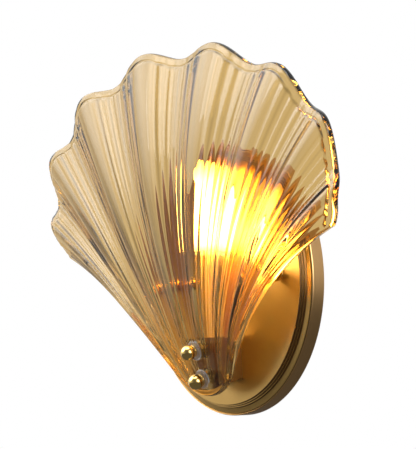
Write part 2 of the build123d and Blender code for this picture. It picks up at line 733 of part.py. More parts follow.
# ================================================================ leads
def make_grommet():
    """Rubber grommet where the leads pass from the bracket box into the canopy."""
    front = -FACE_DEPTH - BRACKET_SHEET
    back = -FACE_DEPTH + CANOPY_SHEET
    body = rod_y(GROMMET_D, front, back, 0, LEAD_Z)
    body += rod_y(GROMMET_FLANGE_D, front - GROMMET_FLANGE_T, front, 0, LEAD_Z)
    body += rod_y(GROMMET_FLANGE_D, back, back + GROMMET_FLANGE_T, 0, LEAD_Z)
    return body - rod_y(GROMMET_BORE, front - 2, back + 2, 0, LEAD_Z)


def lead_along(name, points):
    """A round lead along straight runs joined by tangent arcs."""
    radii = []
    for before, at, after in zip(points, points[1:], points[2:]):
        first = Vector(*at) - Vector(*before)
        second = Vector(*after) - Vector(*at)
        turn = radians(first.get_angle(second))
        radii.append(0.45 * min(first.length, second.length) / tan(turn / 2))
    path = FilletPolyline(*points, radius=radii)
    start = Plane(origin=points[0], z_dir=Vector(*points[1]) - Vector(*points[0]))
    lead = sweep(start * Circle(LEAD_D / 2), path=path)
    print(name, "length", round(path.length, 1), "radii", [round(r, 1) for r in radii])
    print(name, "volume over section x length",
          round(lead.volume / (pi * LEAD_D**2 / 4 * path.length), 4))
    return lead


BLOCK_ENTRY_Z = BLOCK_Z - BLOCK_H / 2


def lamp_lead(name, contact, side, x_end):
    """Lead from a lamp contact through bush and grommet up to its pole."""
    start_z = POCKET_FLOOR_Z - 0.1
    drop_y = HOLDER_Y + side * LEAD_GAP / 2
    pass_z = LEAD_Z + side * LEAD_GAP / 2
    rise_y = LEAD_RISE_Y - side * LEAD_GAP / 2
    points = [(0, contact, start_z), (0, contact, start_z - 3.0), (0, drop_y, CUP_FLOOR_Z + 2.0)]
    points += [(0, drop_y, pass_z), (0, rise_y, pass_z), (x_end, CLAMP_Y, BLOCK_ENTRY_Z - 12)]
    points += [(x_end, CLAMP_Y, BLOCK_ENTRY_Z + 2.2)]
    return lead_along(name, points)


def make_earth_lug():
    """Ring lug with a crimp barrel under the right bracket screw."""
    front = -FACE_DEPTH + CANOPY_SHEET
    lug = rod_y(LUG_D, front, front + LUG_T, BRACKET_SCREW_X, BRACKET_SCREW_Z)
    tail = LUG_D / 2 + LUG_BARREL_LEN
    tongue = Box(LUG_BARREL_D, LUG_T, tail)
    lug += Pos(BRACKET_SCREW_X, front + LUG_T / 2, BRACKET_SCREW_Z + tail / 2) * tongue
    low = BRACKET_SCREW_Z + LUG_D / 2
    lug += rod_z(LUG_BARREL_D, low, low + LUG_BARREL_LEN, BRACKET_SCREW_X, front + LUG_BARREL_D / 2)
    lug -= rod_z(LEAD_D, low - 1, low + LUG_BARREL_LEN + 1, BRACKET_SCREW_X, front + LUG_BARREL_D / 2)
    hole = BRACKET_SCREW_D + 0.1
    return lug - rod_y(hole, front - 1, front + LUG_BARREL_D + 1, BRACKET_SCREW_X, BRACKET_SCREW_Z)


def earth_lead():
    """Lead from the earth lug to the third pole."""
    x = BRACKET_SCREW_X
    y = -FACE_DEPTH + CANOPY_SHEET + LUG_BARREL_D / 2
    z = BRACKET_SCREW_Z + LUG_D / 2 + 0.4
    end = pole_x()[-1]
    points = [(x, y, z), (x, y, z + 9.0), (x + 2.5, LEAD_RISE_Y, z + 20.0)]
    points += [(end, CLAMP_Y, BLOCK_ENTRY_Z - 6.0), (end, CLAMP_Y, BLOCK_ENTRY_Z + 2.2)]
    return lead_along("earth_lead", points)


# ================================================================ all nodes
def main():
    """Build and write every node."""
    front_y, back_y = contact_y()
    canopy_spots = [(side * STUD_X, -FACE_DEPTH, 0.0) for side in (-1, 1)]
    write("canopy", make_canopy())
    write("mounting_plate", make_plate())
    write("canopy_studs", make_studs())
    write("stud_lock_nuts", make_stud_nuts())
    write("canopy_ball_nuts", make_ball_nuts(canopy_spots, (0.0, -1.0, 0.0), 0.0, STUD_D))
    write("plate_earth_screw", make_earth_screw())
    write("earth_washer", make_earth_washer())
    write("shade_bracket", make_bracket())
    write("bracket_screws", make_bracket_screws())
    write("bracket_nuts", make_bracket_nuts())
    write("shade_glass", make_shade_glass())
    write("shade_screws", make_shade_screws())
    write("shade_pads", make_rings(PAD_D, PAD_T, PAD_FROM))
    write("clear_washers", make_rings(CLEAR_WASHER_D, CLEAR_WASHER_T, WASHER_FROM))
    write("shade_ball_nuts", make_ball_nuts(shade_spots(), OUT, BALL_FROM, SHADE_SCREW_D))
    write("holder_cup", make_cup())
    write("holder_insulator", make_insulator())
    write("holder_contacts", make_contacts())
    write("holder_screws", make_holder_screws())
    write("lead_bush", make_bush())
    write("bulb_base", make_bulb_base())
    write("bulb_pins", make_pins())
    write("bulb_envelope", make_envelope())
    write("bulb_core", make_core())
    write("bulb_chips", make_chips())
    write("terminal_block", make_block())
    write("terminal_clamps", make_clamps())
    write("terminal_screws", make_pole_screws())
    write("block_screws", make_block_screws())
    write("lead_grommet", make_grommet())
    write("earth_lug", make_earth_lug())
    write("live_lead", lamp_lead("live_lead", front_y, -1, pole_x()[0]))
    write("neutral_lead", lamp_lead("neutral_lead", back_y, 1, pole_x()[1] + 0.001))
    write("earth_lead", earth_lead())


main()
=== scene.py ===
"""Shell wall sconce: the visual model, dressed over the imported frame.

The wall is the plane y = 0, the lamp stands out towards -Y and +Z is up. The part's sizes below
are in millimetres, as in its source, and become metres in the meshes.
"""

import logging
from dataclasses import dataclass, field
from enum import Enum
from math import asin, atan2, cos, pi, radians, sin, sqrt

import bmesh
import bpy
from mathutils import Matrix, Vector

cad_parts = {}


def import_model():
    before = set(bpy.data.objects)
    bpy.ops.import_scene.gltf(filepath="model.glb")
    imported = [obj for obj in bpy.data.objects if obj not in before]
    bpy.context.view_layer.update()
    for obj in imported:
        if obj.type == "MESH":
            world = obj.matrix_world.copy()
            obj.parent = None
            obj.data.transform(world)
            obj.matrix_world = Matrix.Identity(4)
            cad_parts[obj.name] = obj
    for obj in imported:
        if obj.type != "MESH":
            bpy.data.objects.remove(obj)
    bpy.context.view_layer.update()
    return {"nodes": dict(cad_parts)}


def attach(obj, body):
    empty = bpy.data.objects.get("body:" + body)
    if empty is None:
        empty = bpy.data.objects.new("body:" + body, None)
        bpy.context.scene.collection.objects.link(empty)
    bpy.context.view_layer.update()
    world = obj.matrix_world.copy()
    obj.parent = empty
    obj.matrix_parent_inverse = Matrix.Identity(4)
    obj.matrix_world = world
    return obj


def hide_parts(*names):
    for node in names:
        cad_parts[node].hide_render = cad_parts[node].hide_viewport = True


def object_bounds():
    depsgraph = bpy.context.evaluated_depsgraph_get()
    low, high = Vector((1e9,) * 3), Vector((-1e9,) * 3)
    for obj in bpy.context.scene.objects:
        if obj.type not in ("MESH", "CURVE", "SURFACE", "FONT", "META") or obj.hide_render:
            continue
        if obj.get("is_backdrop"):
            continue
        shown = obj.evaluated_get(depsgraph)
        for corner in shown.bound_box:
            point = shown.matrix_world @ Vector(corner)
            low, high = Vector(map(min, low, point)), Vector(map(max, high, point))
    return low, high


MM = 0.001
LAMP = "wall_lamp"
RAMP_EASE = 0.05
SMALL_STEPS = 64
HOLE_STEPS = 48
CANOPY_STEPS = 240
log = logging.getLogger("sconce")

Colour = tuple[float, float, float]
Triple = tuple[float, float, float]
Profile = list[tuple[float, float]]


# ---------------------------------------------------------------- node arithmetic
class Term:
    """A value in a node tree that can be calculated with like a number."""

    def __init__(self, graph: "Graph", socket: bpy.types.NodeSocket) -> None:
        """Wrap an output socket.

        Args:
            graph: the graph that the socket belongs to.
            socket: the output socket.
        """
        self.graph = graph
        self.socket = socket

    def __add__(self, other: "Term | float") -> "Term":
        """This plus other."""
        return self.graph.math("ADD", self, other)

    def __radd__(self, other: float) -> "Term":
        """Other plus this."""
        return self.graph.math("ADD", other, self)

    def __sub__(self, other: "Term | float") -> "Term":
        """This minus other."""
        return self.graph.math("SUBTRACT", self, other)

    def __rsub__(self, other: float) -> "Term":
        """Other minus this."""
        return self.graph.math("SUBTRACT", other, self)

    def __mul__(self, other: "Term | float") -> "Term":
        """This times other."""
        return self.graph.math("MULTIPLY", self, other)

    def __truediv__(self, other: "Term | float") -> "Term":
        """This over other."""
        return self.graph.math("DIVIDE", self, other)

    def __pow__(self, power: float) -> "Term":
        """This to a power."""
        return self.graph.math("POWER", self, power)

    def to(self, operation: str, *others: "Term | float") -> "Term":
        """This through any maths operation of a Math node."""
        return self.graph.math(operation, self, *others)

    def ramp(self, low: float, high: float) -> "Term":
        """0 below low, 1 above high, and smooth between."""
        share = (self - low) / (high - low)
        return self.graph.math("SMOOTH_MAX", 0.0, share.to("MINIMUM", 1.0), RAMP_EASE)


class Graph:
    """A node tree, with short ways to add and join nodes."""

    def __init__(self, tree: bpy.types.NodeTree) -> None:
        """Wrap a node tree."""
        self.tree = tree

    def node(self, kind: str, **settings: object) -> bpy.types.Node:
        """Add a node.

        Args:
            kind: the node's type name.
            settings: properties to set on it.

        Returns:
            The new node.
        """
        made = self.tree.nodes.new(kind)
        for name, value in settings.items():
            setattr(made, name, value)
        return made

    def link(self, value: object, socket: bpy.types.NodeSocket) -> None:
        """Join a Term or socket to an input, or set a plain value on it."""
        if isinstance(value, Term):
            self.tree.links.new(value.socket, socket)
        elif isinstance(value, bpy.types.NodeSocket):
            self.tree.links.new(value, socket)
        else:
            socket.default_value = value

    def math(self, operation: str, *values: "Term | float") -> Term:
        """A Math node on up to three values."""
        made = self.node("ShaderNodeMath", operation=operation)
        for value, socket in zip(values, made.inputs):
            self.link(value, socket)
        return Term(self, made.outputs[0])

    def vector(self, x: object, y: object, z: object) -> Term:
        """Three values as a vector."""
        made = self.node("ShaderNodeCombineXYZ")
        for value, socket in zip((x, y, z), made.inputs):
            self.link(value, socket)
        return Term(self, made.outputs[0])

    def split(self, vector: object) -> tuple[Term, Term, Term]:
        """A vector's three values."""
        made = self.node("ShaderNodeSeparateXYZ")
        self.link(vector, made.inputs[0])
        return tuple(Term(self, output) for output in made.outputs)


class Recipe(Graph):
    """A Geometry Nodes tree with named inputs, run once to give a plain mesh."""

    def __init__(self, name: str) -> None:
        """Start an empty tree.

        Args:
            name: the tree's name.
        """
        super().__init__(bpy.data.node_groups.new(name, "GeometryNodeTree"))
        self.name = name
        self.source = self.node("NodeGroupInput")
        self.values: dict[str, object] = {}
        self.tree.interface.new_socket(
            "Geometry", in_out="OUTPUT", socket_type="NodeSocketGeometry")

    def ask(self, name: str, value: object, kind: str = "Float") -> Term:
        """Add a named input and its value.

        Args:
            name: the input's name.
            value: what the modifier gives it.
            kind: the socket type's last word.

        Returns:
            The input inside the tree.
        """
        socket = self.tree.interface.new_socket(
            name, in_out="INPUT", socket_type="NodeSocket" + kind)
        self.values[socket.identifier] = value
        return Term(self, self.source.outputs[name])

    def run(self, geometry: object, finish: bpy.types.Material) -> bpy.types.Object:
        """End the tree in Realize Instances and Set Material, and evaluate it.

        Args:
            geometry: the tree's geometry.
            finish: the material of the result.

        Returns:
            A plain mesh object at the origin.
        """
        coat = self.ask("Finish", finish, "Material")
        realise = self.node("GeometryNodeRealizeInstances")
        self.link(geometry, realise.inputs[0])
        dress = self.node("GeometryNodeSetMaterial")
        self.link(realise.outputs[0], dress.inputs["Geometry"])
        self.link(coat, dress.inputs["Material"])
        end = self.node("NodeGroupOutput")
        self.link(dress.outputs[0], end.inputs[0])
        holder = add_object(self.name + "_maker", bpy.data.meshes.new(self.name))
        modifier = holder.modifiers.new("Recipe", "NODES")
        modifier.node_group = self.tree
        for identifier, value in self.values.items():
            modifier[identifier] = value
        graph = bpy.context.evaluated_depsgraph_get()
        mesh = bpy.data.meshes.new_from_object(holder.evaluated_get(graph), depsgraph=graph)
        bpy.data.objects.remove(holder)
        return add_object(self.name, mesh)


# ---------------------------------------------------------------- mesh helpers
def add_object(name: str, mesh: bpy.types.Mesh) -> bpy.types.Object:
    """Put a mesh in the scene as an object at the origin."""
    made = bpy.data.objects.new(name, mesh)
    bpy.context.scene.collection.objects.link(made)
    return made


def lathe(name: str, profile: Profile, segments: int) -> bpy.types.Object:
    """Turn a closed or pole-to-pole profile about Z.

    Args:
        name: the object's name.
        profile: (radius, height) in millimetres, with the outside on its right-hand side.
        segments: how many steps go round.

    Returns:
        A smooth mesh object in metres.
    """
    form = bmesh.new()
    rings: list[list[bmesh.types.BMVert]] = []
    for radius, height in profile:
        if radius < 1e-6:
            rings.append([form.verts.new((0.0, 0.0, height * MM))])
            continue
        steps = [2 * pi * k / segments for k in range(segments)]
        rings.append([form.verts.new((radius * cos(t) * MM, radius * sin(t) * MM, height * MM))
                      for t in steps])
    pairs = list(zip(rings, rings[1:]))
    if profile[0][0] > 1e-6 and profile[-1][0] > 1e-6:
        pairs.append((rings[-1], rings[0]))
    for low, high in pairs:
        if len(low) == len(high) == 1:
            continue
        for k in range(segments):
            n = (k + 1) % segments
            corners = [low[k % len(low)], low[n % len(low)],
                       high[n % len(high)], high[k % len(high)]]
            kept = [c for i, c in enumerate(corners) if c not in corners[:i]]
            form.faces.new(kept)
    bmesh.ops.recalc_face_normals(form, faces=form.faces)
    for face in form.faces:
        face.smooth = True
    mesh = bpy.data.meshes.new(name)
    form.to_mesh(mesh)
    form.free()
    return add_object(name, mesh)


def rounded(points: Profile, radius: float, steps: int = 4) -> Profile:
    """Round the inner corners of an open profile.

    Args:
        points: the profile's corners.
        radius: the largest corner radius.
        steps: how many points stand on each rounded corner.

    Returns:
        The profile with arcs in place of its corners.
    """
    result = [points[0]]
    for before, at, after in zip(points, points[1:], points[2:]):
        a, b, c = Vector(before), Vector(at), Vector(after)
        reach = min(radius, (a - b).length * 0.45, (c - b).length * 0.45)
        start, end = b + (a - b).normalized() * reach, b + (c - b).normalized() * reach
        for k in range(steps + 1):
            t = k / steps
            point = start * (1 - t) ** 2 + b * 2 * t * (1 - t) + end * t * t
            result.append((point.x, point.y))
    result.append(points[-1])
    return result


def place(piece: bpy.types.Object, turn: Matrix, at: Vector) -> None:
    """Move a piece's mesh, so that its object stays at the origin."""
    piece.data.transform(Matrix.Translation(at) @ turn.to_4x4())


def facing(axis: Vector) -> Matrix:
    """The turn that takes +Z to an axis."""
    return Vector((0, 0, 1)).rotation_difference(axis).to_matrix()


def cut(piece: bpy.types.Object, tools: list[bpy.types.Object]) -> None:
    """Take the tools' volumes out of a piece and delete them."""
    for tool in tools:
        modifier = piece.modifiers.new("Cut", "BOOLEAN")
        modifier.operation = "DIFFERENCE"
        modifier.solver = "EXACT"
        modifier.object = tool
    graph = bpy.context.evaluated_depsgraph_get()
    mesh = bpy.data.meshes.new_from_object(piece.evaluated_get(graph), depsgraph=graph)
    piece.modifiers.clear()
    old, piece.data = piece.data, mesh
    bpy.data.meshes.remove(old)
    for tool in tools:
        bpy.data.objects.remove(tool)


def settle(piece: bpy.types.Object, body: str, node: str) -> None:
    """Hand a finished piece to the frame and report it.

    Args:
        piece: the finished piece.
        body: the CAD body that it rides on.
        node: the CAD node that it stands for.
    """
    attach(piece, body)
    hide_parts(node)
    log.info("%s: %d faces, stands for %s", piece.name, len(piece.data.polygons), node)


# ---------------------------------------------------------------- finishes
class Grain(Enum):
    """How a metal's surface was worked: noise scale per metre, detail and stretch."""

    POLISHED = (260.0, 2.0, (1.0, 1.0, 1.0))
    TURNED = (900.0, 3.0, (1.0, 1.0, 1.0))
    BRUSHED = (700.0, 4.0, (1.0, 1.0, 0.03))
    ROLLED = (500.0, 5.0, (1.0, 0.4, 1.0))


def start_material(name: str) -> tuple[Graph, bpy.types.Node, bpy.types.Node]:
    """A new material's graph, its Principled shader and its output."""
    material = bpy.data.materials.new(name)
    material.use_nodes = True
    nodes = material.node_tree.nodes
    return Graph(material.node_tree), nodes["Principled BSDF"], nodes["Material Output"]


def speckle(graph: Graph, scale: float, detail: float = 3.0,
            stretch: Triple = (1, 1, 1)) -> Term:
    """Noise on the object's own coordinates.

    Args:
        graph: the material's graph.
        scale: noise scale per metre.
        detail: how many finer layers the noise has.
        stretch: factor along each axis.

    Returns:
        The noise, from 0 to 1.
    """
    coordinates = graph.node("ShaderNodeTexCoord")
    mapping = graph.node("ShaderNodeMapping")
    mapping.inputs["Scale"].default_value = stretch
    graph.link(coordinates.outputs["Object"], mapping.inputs["Vector"])
    noise = graph.node("ShaderNodeTexNoise")
    noise.inputs["Scale"].default_value = scale
    noise.inputs["Detail"].default_value = detail
    graph.link(mapping.outputs[0], noise.inputs["Vector"])
    return Term(graph, noise.outputs[0])


def tinted(graph: Graph, share: Term, low: Colour, high: Colour) -> bpy.types.NodeSocket:
    """A colour between two colours.

    Args:
        graph: the material's graph.
        share: 0 for the first colour, 1 for the second.
        low: the first colour.
        high: the second colour.

    Returns:
        The mixed colour's socket.
    """
    mix = graph.node("ShaderNodeMix", data_type="RGBA")
    graph.link(share, mix.inputs["Factor"])
    mix.inputs[6].default_value = (*low, 1)
    mix.inputs[7].default_value = (*high, 1)
    return mix.outputs[2]


def bumped(graph: Graph, shader: bpy.types.Node, height: Term, depth: float) -> None:
    """Give a shader a bump of a depth in metres."""
    bump = graph.node("ShaderNodeBump")
    bump.inputs["Strength"].default_value = 1.0
    bump.inputs["Distance"].default_value = depth
    graph.link(height, bump.inputs["Height"])
    graph.link(bump.outputs[0], shader.inputs["Normal"])


@dataclass(frozen=True)
class Metal:
    """A metal or plated finish with its working marks, and optional painted shade in turned grooves
    and on a side wall.
    """

    name: str
    colour: Colour
    shade: Colour
    rough: float
    grain: Grain = Grain.POLISHED
    depth: float = 4e-6
    ring_scale: float = 2600.0
    ring_share: float = 0.55
    # Painted shade: radii of turned grooves that get a darker colour, and a side wall past a radius
    # in its own colour.
    shaded_grooves: tuple[float, ...] = ()
    groove_shade_colour: Colour = (0.24, 0.13, 0.05)
    groove_shade_half: float = 0.2
    groove_shade_cover: float = 0.9
    wall_shade_from: float = 0.0
    wall_shade_blend: float = 0.3
    wall_shade_colour: Colour = (0.40, 0.29, 0.19)

    def build(self) -> bpy.types.Material:
        """Make the material."""
        graph, shader, _ = start_material(self.name)
        cloud = speckle(graph, 38.0, 4.0)
        graph.link(tinted(graph, cloud, self.shade, self.colour), shader.inputs["Base Color"])
        shader.inputs["Metallic"].default_value = 1.0
        marks = speckle(graph, *self.grain.value)
        if self.grain is Grain.TURNED:
            place_at = graph.node("ShaderNodeTexCoord")
            x, _, z = graph.split(place_at.outputs["Object"])
            radius = (x * x + z * z).to("SQRT")
            # painted shade in the grooves and on the side wall
            if self.shaded_grooves:
                self.paint_shade(graph, shader, radius)
            rings = graph.node("ShaderNodeTexNoise", noise_dimensions="1D")
            rings.inputs["Scale"].default_value = self.ring_scale
            rings.inputs["Detail"].default_value = 2.0
            graph.link(radius, rings.inputs["W"])
            turned = Term(graph, rings.outputs[0])
            marks = turned * self.ring_share + marks * (1 - self.ring_share)
        graph.link(marks * (self.rough * 0.5) + self.rough * 0.75, shader.inputs["Roughness"])
        bumped(graph, shader, marks, self.depth)
        return bpy.data.materials[self.name]

    def paint_shade(self, graph: Graph, shader: bpy.types.Node, radius: Term) -> None:
        """Paint shade: a darker colour at the turned grooves' radii stands in for the shade that
        falls in them, and a second colour past a radius stands in for the side wall's darker look.

        Args:
            graph: the material's graph.
            shader: its shader, with a base colour already joined.
            radius: distance from the axis in metres.
        """
        offs = [(radius - ring * MM) / (self.groove_shade_half * MM) for ring in self.shaded_grooves]
        groove_shade = sum((off * off * -1.0).to("EXPONENT") for off in offs)
        mix = graph.node("ShaderNodeMix", data_type="RGBA")
        graph.link(groove_shade.to("MINIMUM", self.groove_shade_cover), mix.inputs["Factor"])
        graph.link(shader.inputs["Base Color"].links[0].from_socket, mix.inputs[6])
        mix.inputs[7].default_value = (*self.groove_shade_colour, 1)
        # painted shade: past a radius the side wall takes its own colour, standing in for the darker
        # reflections it shows
        wall = graph.node("ShaderNodeMix", data_type="RGBA")
        wall_shade_share = radius.ramp(self.wall_shade_from * MM, (self.wall_shade_from + self.wall_shade_blend) * MM)
        graph.link(wall_shade_share, wall.inputs["Factor"])
        graph.link(mix.outputs[2], wall.inputs[6])
        wall.inputs[7].default_value = (*self.wall_shade_colour, 1)
        graph.link(wall.outputs[2], shader.inputs["Base Color"])


@dataclass(frozen=True)
class PressedGlass:
    """Tinted pressed glass, clear all through, with the slight waviness of a mould."""

    name: str
    tint: Colour
    pale: Colour
    depth_tint: Colour
    density: float
    wave_depth: float = 2e-5
    ior: float = 1.5

    def build(self) -> bpy.types.Material:
        """Make the material."""
        graph, shader, output = start_material(self.name)
        cloud = speckle(graph, 9.0, 1.0)
        graph.link(tinted(graph, cloud, self.tint, self.pale), shader.inputs["Base Color"])
        shader.inputs["Roughness"].default_value = 0.0
        shader.inputs["IOR"].default_value = self.ior
        shader.inputs["Transmission Weight"].default_value = 1.0
        bumped(graph, shader, speckle(graph, 55.0, 1.5), self.wave_depth)
        absorb = graph.node("ShaderNodeVolumeAbsorption")
        absorb.inputs["Color"].default_value = (*self.depth_tint, 1)
        absorb.inputs["Density"].default_value = self.density
        graph.link(absorb.outputs[0], output.inputs["Volume"])
        return bpy.data.materials[self.name]


@dataclass(frozen=True)
class Moulded:
    """Plastic, silicone, rubber or ceramic with a fine surface."""

    name: str
    colour: Colour
    shade: Colour
    rough: float = 0.45
    clear: float = 0.0
    grain: float = 900.0
    depth: float = 8e-6

    def build(self) -> bpy.types.Material:
        """Make the material."""
        graph, shader, _ = start_material(self.name)
        cloud = speckle(graph, 120.0, 3.0)
        graph.link(tinted(graph, cloud, self.shade, self.colour), shader.inputs["Base Color"])
        shader.inputs["Transmission Weight"].default_value = self.clear
        grain = speckle(graph, self.grain, 3.0)
        graph.link(grain * 0.12 + self.rough * 0.9, shader.inputs["Roughness"])
        bumped(graph, shader, grain, self.depth)
        return bpy.data.materials[self.name]


@dataclass(frozen=True)
class Striped:
    """Lead insulation with a second colour along it."""

    name: str
    colour: Colour
    stripe: Colour
    waves: tuple[float, float] = (2600.0, 240.0)
    above: float = 0.35

    def build(self) -> bpy.types.Material:
        """Make the material."""
        graph, shader, _ = start_material(self.name)
        place_at = graph.node("ShaderNodeTexCoord")
        x, _, z = graph.split(place_at.outputs["Object"])
        wave_x, wave_z = self.waves
        band = (x * wave_x + z * wave_z).to("SINE").to("GREATER_THAN", self.above)
        graph.link(tinted(graph, band, self.colour, self.stripe), shader.inputs["Base Color"])
        fine = speckle(graph, 1200.0, 2.0)
        graph.link(fine * 0.15 + 0.38, shader.inputs["Roughness"])
        return bpy.data.materials[self.name]


@dataclass(frozen=True)
class Glow:
    """A lit surface whose light falls off towards its lower and upper ends."""

    name: str
    colour: Colour
    edge: Colour
    strength: float
    low: float
    full: float
    fade: float
    high: float

    def build(self) -> bpy.types.Material:
        """Make the material."""
        graph, shader, _ = start_material(self.name)
        place_at = graph.node("ShaderNodeTexCoord")
        _, _, z = graph.split(place_at.outputs["Object"])
        lit = z.ramp(self.low * MM, self.full * MM) * (1 - z.ramp(self.fade * MM, self.high * MM))
        colour = tinted(graph, lit, self.edge, self.colour)
        graph.link(colour, shader.inputs["Base Color"])
        graph.link(colour, shader.inputs["Emission Color"])
        graph.link((lit * 0.92 + 0.08) * self.strength, shader.inputs["Emission Strength"])
        shader.inputs["Roughness"].default_value = 0.4
        return bpy.data.materials[self.name]


# ---------------------------------------------------------------- scallop glass
@dataclass
class ScallopGlass:
    """The fluted glass: a fan of big ribs with fine reeds between them, in one thick sheet."""

    rib_pairs: int = 4
    thickness: float = 4.5
    half_width: float = 127.0
    half_height: float = 72.0
    centre_z: float = 51.4
    sweep: float = 116.0
    scallop: float = 7.5
    umbo_z: float = -55.0
    toe_radius: float = 26.0
    toe_z: float = -60.0
    toe_spread: float = 49.0
    side_bow: float = 8.5
    crest_depth: float = 41.2
    crest_z: float = 40.0
    length_radius: float = 320.0
    cross_low: float = 525.0
    cross_top: float = 1250.0
    top_z: float = 120.0
    rib_height: float = 4.6
    reeds: int = 7
    reed_height: float = 1.25
    rim_band: float = 4.2
    rim_step: float = 0.6
    rim_groove: float = 0.45
    rim_wave: float = 0.45
    side_band: float = 3.0
    groove_half: float = 0.4
    band_ease: float = 0.2
    band_reeds: float = 0.3
    reed_window: tuple[float, float] = (0.33, 0.38)
    reed_sink: float = 0.2
    reed_at_toe: float = 0.14
    toe_ease: float = 1.2
    side_reach_toe: float = 45.0
    side_reach_rim: float = 260.0
    rim_pull: float = 0.78
    rim_pull_fall: float = 0.16
    edge_round: float = 0.9
    side_crowd: float = 1.5
    side_power: float = 1.7
    end_crowd: float = 0.2
    end_power: float = 1.8
    steps_per_reed: int = 4
    steps_along: int = 205
    fix_z: float = -43.6
    fix_pitch: float = 15.7
    hole: float = 5.0
    seat: float = 10.8
    seat_turn: float = 14.0
    seat_reach: float = 0.6
    tool_reach: float = 20.0
    weld: float = 0.004

    def sheet(self, recipe: Recipe, sizes: dict[str, Term], side: int) -> object:
        """One face of the sheet, as a grid bent by the fan's formula.

        Args:
            recipe: the tree.
            sizes: the named inputs.
            side: -1 for the outer face and 1 for the inner face.

        Returns:
            The face's geometry socket.
        """
        grid = recipe.node("GeometryNodeMeshGrid")
        grid.inputs["Size X"].default_value = 2.0
        grid.inputs["Size Y"].default_value = 2.0
        grid.inputs["Vertices X"].default_value = (
            2 * self.rib_pairs * self.reeds * self.steps_per_reed + 1)
        grid.inputs["Vertices Y"].default_value = self.steps_along + 1
        a, b, _ = recipe.split(recipe.node("GeometryNodeInputPosition").outputs[0])
        across = self.crowd(a, self.side_crowd / (self.rib_pairs * self.reeds), self.side_power)
        along = self.crowd(b, self.end_crowd, self.end_power) * 0.5 + 0.5
        s, way = across.to("ABSOLUTE"), across.to("SIGN")
        ribs = s * float(self.rib_pairs)
        wave = ((ribs - 0.5) * (2 * pi)).to("COSINE") * 0.5 + 0.5

        angle = (s * self.toe_ease).to("SINE") * (radians(self.toe_spread) / sin(self.toe_ease))
        x0 = angle.to("SINE") * sizes["Toe Radius"]
        z0 = (1 - angle.to("COSINE")) * sizes["Toe Radius"] + self.toe_z

        tau = radians(90) - s * radians(self.sweep)
        x1 = tau.to("COSINE") * sizes["Half Width"]
        z1 = tau.to("SINE") * sizes["Half Height"] + self.centre_z
        outermost = s.to("GREATER_THAN", 1 - 0.5 / self.rib_pairs)
        dip = (1 - wave) * (1 - outermost) * sizes["Scallop Depth"]
        rise = z1 - self.umbo_z
        keep = 1 - dip / (x1 * x1 + rise * rise).to("SQRT")
        x1, z1 = x1 * keep, rise * keep + self.umbo_z

        run, climb = x1 - x0, z1 - z0
        length = (run * run + climb * climb).to("SQRT")
        to_rim = (1 - along) * length
        gap = to_rim - self.rim_band
        pull = (gap * gap * -self.rim_pull_fall).to("EXPONENT") * to_rim.to("MINIMUM", 1.0)
        along = along + gap * pull * self.rim_pull / length
        bulge = (1 - (1 - s) ** 2.0) * along * (1 - along) * (4 * self.side_bow) / length
        x = (x0 + run * along - climb * bulge) * way
        z = z0 + climb * along + run.to("ABSOLUTE") * bulge

        low, top = 1 / self.cross_low, 1 / self.cross_top
        cross = z.to("MAXIMUM", 0.0) * ((top - low) / self.top_z) + low
        dome = self.crest_depth - (z - self.crest_z) ** 2.0 / (2 * self.length_radius)
        depth = dome - cross * x * x * 0.5 + along * wave * sizes["Rib Height"]

        to_rim = (1 - along) * length
        to_toe = along * length
        reach = along * (self.side_reach_rim - self.side_reach_toe) + self.side_reach_toe
        to_side = (1 - s) * reach
        soft = self.round_off(to_rim) * self.round_off(to_toe) * self.round_off(to_side)
        half = soft * sizes["Thickness"] * 0.5
        y = self.thickness / 2 - depth + half * float(side)
        if side < 0:
            others = to_toe.to("MINIMUM", to_side) + (self.rim_band - self.side_band)
            y = y - self.relief(ribs, along, to_rim, others, sizes["Reed Height"]) * soft
        move = recipe.node("GeometryNodeSetPosition")
        recipe.link(grid.outputs["Mesh"], move.inputs["Geometry"])
        recipe.link(recipe.vector(x * MM, y * MM, z * MM), move.inputs["Position"])
        if side < 0:
            return move.outputs[0]
        flip = recipe.node("GeometryNodeFlipFaces")
        recipe.link(move.outputs[0], flip.inputs[0])
        return flip.outputs[0]

    def relief(self, ribs: Term, along: Term, to_rim: Term, others: Term,
               height: Term) -> Term:
        """How far the outer face swells in reeds and sinks in the rim band and its groove.

        Args:
            ribs: the place across, with a whole number between two ribs.
            along: the place along, 0 at the toe and 1 at the rim.
            to_rim: distance to the rim.
            others: distance to the toe and side edges, set off by their narrower band.
            height: the reeds' height.

        Returns:
            The swell in millimetres.
        """
        phase = (ribs - ribs.to("ROUND")).to("ABSOLUTE")
        window = 1 - phase.ramp(*self.reed_window)
        reed = (phase * (pi * self.reeds)).to("COSINE").to("ABSOLUTE")
        wavy = (to_rim - reed * window * self.rim_wave).to("MINIMUM", others)
        inside = wavy.ramp(self.rim_band - self.band_ease, self.rim_band + self.band_ease)
        fade = along * (1 - self.reed_at_toe) + self.reed_at_toe
        swell = (reed - self.reed_sink) * window * fade * height
        off = (wavy - self.rim_band) / self.groove_half
        groove = (off * off * -1.0).to("EXPONENT") * self.rim_groove
        step = (1 - inside) * self.rim_step + groove
        return swell * (inside * (1 - self.band_reeds) + self.band_reeds) - step

    def crowd(self, value: Term, share: float, power: float) -> Term:
        """Draw grid lines together near both ends.

        Args:
            value: from -1 to 1.
            share: the stretch at each end that is changed.
            power: how strongly the lines crowd.

        Returns:
            The changed value, from -1 to 1.
        """
        left = 1 - value.to("ABSOLUTE")
        near = ((left / share).to("MINIMUM", 1.0)) ** power * share
        return value.to("SIGN") * (1 - near - (left - share).to("MAXIMUM", 0.0))

    def round_off(self, distance: Term) -> Term:
        """How much of the thickness is left at a distance from the sheet's edge."""
        rest = 1 - (distance / self.edge_round).to("MINIMUM", 1.0)
        return (1 - rest * rest).to("MAXIMUM", 0.0).to("SQRT")

